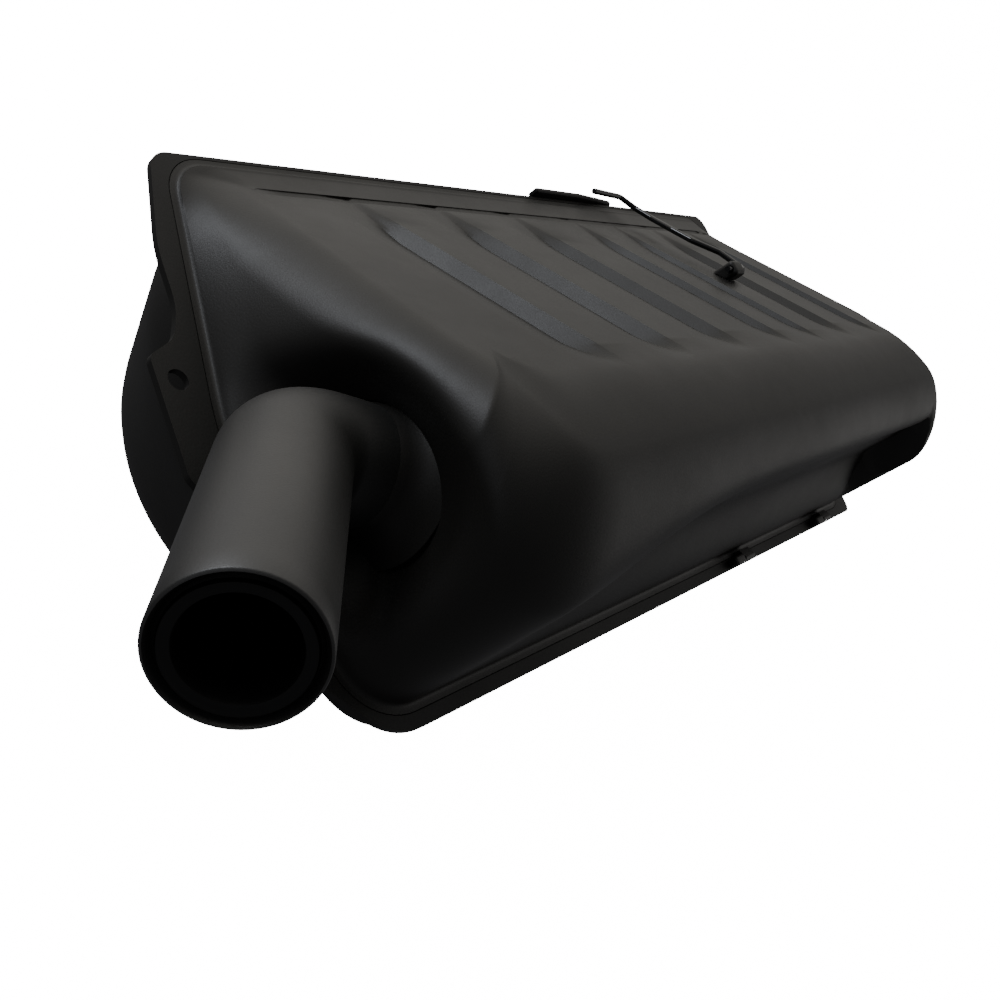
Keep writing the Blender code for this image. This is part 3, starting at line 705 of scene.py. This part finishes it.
def make_latch():
    """The catch on the flange, the saddle on the slope and the wire between them."""
    side = [(186, -FLANGE_T), (262, -FLANGE_T), (262, 0.6), (246, 2.0), (226, 3.4), (186, 3.6)]
    bar = pushed([(x, 204.8, z) for x, z in side], (0, 2.8, 0))
    piece("latch_catch_skin", bar, "case", ["latch_catch"], "case", CASE_SKIN, bevel=1.0)
    saddle = block(254.0, 265.0, LATCH_Y - 4, LATCH_Y + 4, LATCH_Z - 7.0, LATCH_Z + 2.7, 2.0, 5)
    for v in saddle.verts:
        x, y, z = back(v.co)
        if z < LATCH_Z:
            v.co.z = w(0, 0, slope(y) + GAP + 0.2).z
    ob = piece("latch_saddle_skin", saddle, None, (), None, COVER_SKIN)
    carve(ob, [("DIFFERENCE", eye_hole("eye", 245, 275, LATCH_Y, LATCH_Z, WIRE_R + GAP))])
    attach(ob, "cover")
    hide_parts("latch_saddle")
    route = [(250.5, LATCH_Y, LATCH_Z), (271, LATCH_Y, LATCH_Z), (270, 151, 39.5),
             (263, 163, 31.5), (263, 174, 24.5), (267, 187, 15.5), (268, 197, 9.5),
             (262, 205.5, 7.0), (236, 207, 7.0)]
    path = bend_path(route, 3.2, 8, 3)
    piece("wire_latch_skin", skin(round_rings(path, WIRE_R, 24)), "latch", ["wire_latch"], "wire",
          WIRE_SKIN)


make_cover()
make_case()
make_tube()
make_filter()
make_outlet()
make_hinges()
make_latch()


# ---- studio ----
FLOOR_HALF, FLOOR_GLOW = 30, 16.0
DOME_BRIGHT_SIDE = Vector((0.32, 0.85, 0.42))
DOME_LOW, DOME_HIGH = (0.12, 0.12, 0.125, 1), (1.0, 0.97, 0.91, 1)
CAMERA_AT = (-270.0, 10.84, 238.78)


def area(name, at, look, size, power, colour, size_y=None):
    """A rectangular lamp that looks at a point."""
    light = bpy.data.lights.new(name, "AREA")
    light.shape = "RECTANGLE"
    light.size, light.size_y = size, size_y or size
    light.energy = power
    light.color = colour
    ob = bpy.data.objects.new(name, light)
    ob.location = at
    ob.rotation_euler = (Vector(look) - Vector(at)).to_track_quat("-Z", "Y").to_euler()
    bpy.context.scene.collection.objects.link(ob)


def rectangle(name, size, at):
    """A flat square of the studio."""
    bm = bmesh.new()
    bmesh.ops.create_grid(bm, x_segments=1, y_segments=1, size=size)
    me = bpy.data.meshes.new(name)
    bm.to_mesh(me)
    bm.free()
    ob = bpy.data.objects.new(name, me)
    ob.location = at
    bpy.context.scene.collection.objects.link(ob)
    return ob


floor = rectangle("floor", FLOOR_HALF, (0, 0, 0))
pale, _, paint = new_material("pale_floor")
paint.inputs["Base Color"].default_value = (0.9, 0.9, 0.9, 1)
paint.inputs["Roughness"].default_value = 0.9
paint.inputs["Specular IOR Level"].default_value = 0.0
paint.inputs["Emission Color"].default_value = (1, 1, 1, 1)
paint.inputs["Emission Strength"].default_value = FLOOR_GLOW
floor.data.materials.append(pale)
floor.visible_diffuse = False
floor.visible_glossy = False

# a soft dome: bright from above and behind the latch edge, dim from below and the hinge edge
world = bpy.data.worlds.new("studio")
bpy.context.scene.world = world
world.use_nodes = True
nt = world.node_tree
place = nt.nodes.new("ShaderNodeTexCoord")
side = nt.nodes.new("ShaderNodeVectorMath")
side.operation = "DOT_PRODUCT"
side.inputs[1].default_value = DOME_BRIGHT_SIDE
nt.links.new(place.outputs["Generated"], side.inputs[0])
fade = nt.nodes.new("ShaderNodeValToRGB")
fade.color_ramp.interpolation = "EASE"
fade.color_ramp.elements[0].position = 0.35
fade.color_ramp.elements[0].color = DOME_LOW
fade.color_ramp.elements[1].position = 1.0
fade.color_ramp.elements[1].color = DOME_HIGH
nt.links.new(side.outputs["Value"], fade.inputs["Fac"])
nt.links.new(fade.outputs["Color"], nt.nodes["Background"].inputs["Color"])
nt.nodes["Background"].inputs["Strength"].default_value = 1.0

area("cool_top_left", (-0.56, 1.13, 0.62), (0.05, 0, 0.12), 0.5, 8, (0.88, 0.92, 1.0))
area("cool_left", (-1.6, 0.1, 0.9), (-0.2, 0, 0.12), 0.5, 0.6, (0.86, 0.9, 1.0), 1.2)
area("front_fill", (1.3, -0.7, 0.7), (0.1, 0, 0.1), 1.2, 2.5, (1.0, 0.98, 0.94))

# ---- camera ----
cam = bpy.data.cameras.new("camera")
cam.lens, cam.sensor_width = 38.95, 36.0
cam.clip_start = 0.01
view = bpy.data.objects.new("camera", cam)
right, up = Vector((0.5795, -0.4176, 0.6999)), Vector((0.1567, 0.9000, 0.4072))
ahead = Vector((0.7998, 0.1263, -0.5872))
turn = Matrix((right, up, -ahead)).transposed().to_4x4()
view.matrix_world = Matrix.Translation(w(*CAMERA_AT)) @ turn
bpy.context.scene.collection.objects.link(view)
bpy.context.scene.camera = view
